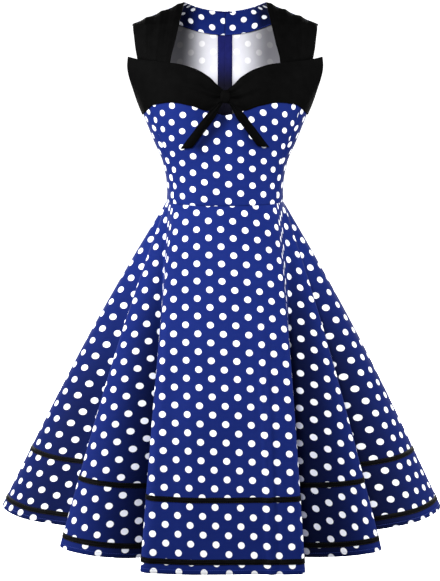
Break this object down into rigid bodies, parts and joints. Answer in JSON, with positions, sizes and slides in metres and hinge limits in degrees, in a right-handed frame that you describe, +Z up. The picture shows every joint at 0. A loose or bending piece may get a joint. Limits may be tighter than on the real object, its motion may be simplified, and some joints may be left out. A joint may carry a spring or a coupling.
{
  "type": "a-line dress",
  "caption": "Sleeveless swing dress in dotted cotton with wide gathered straps, a folded bust cuff tied at the front, and a flared skirt with ribbon bands.",
  "frame": {"origin": "midway between the neck ends of the two shoulder seams, where the dress is held", "axes": "+Z up, the front of the dress faces -Y, +X towards the wearer's left"},
  "size_m": [0.8508, 0.6845, 0.9904],
  "materials": {
    "dotted_cotton": "matt woven cotton with printed white dots",
    "black_cotton": "matt black cotton and ribbon",
    "zip_tape": "woven zip tape",
    "zip_enamel": "enamelled zip slider and pull"
  },
  "bodies": {
    "dress": {"bodice_back_left": "dotted_cotton", "bodice_back_right": "dotted_cotton", "bodice_front": "dotted_cotton", "bodice_side_left": "dotted_cotton", "bodice_side_right": "dotted_cotton", "bust_cuff_left": "black_cotton", "bust_cuff_right": "black_cotton", "knot": "black_cotton", "neck_facing_left": "dotted_cotton", "neck_facing_right": "dotted_cotton", "ribbon_lower_back_left": "black_cotton", "ribbon_lower_back_right": "black_cotton", "ribbon_lower_front": "black_cotton", "ribbon_upper_back_left": "black_cotton", "ribbon_upper_back_right": "black_cotton", "ribbon_upper_front": "black_cotton", "skirt_back_left": "dotted_cotton", "skirt_back_right": "dotted_cotton", "skirt_front": "dotted_cotton", "strap_left": "black_cotton", "strap_right": "black_cotton", "tie_left": "black_cotton", "tie_right": "black_cotton", "zip_slider": "zip_enamel", "zip_tape_left": "zip_tape", "zip_tape_right": "zip_tape"},
    "zip_pull": {"zip_pull": "zip_enamel"}
  },
  "joints": [
    {"name": "pull_swing", "type": "hinge", "parent": "dress", "child": "zip_pull", "pos_m": [0, 0.08491, -0.02594], "axis": [1, 0, 0], "range_deg": [0, 165]}
  ]
}
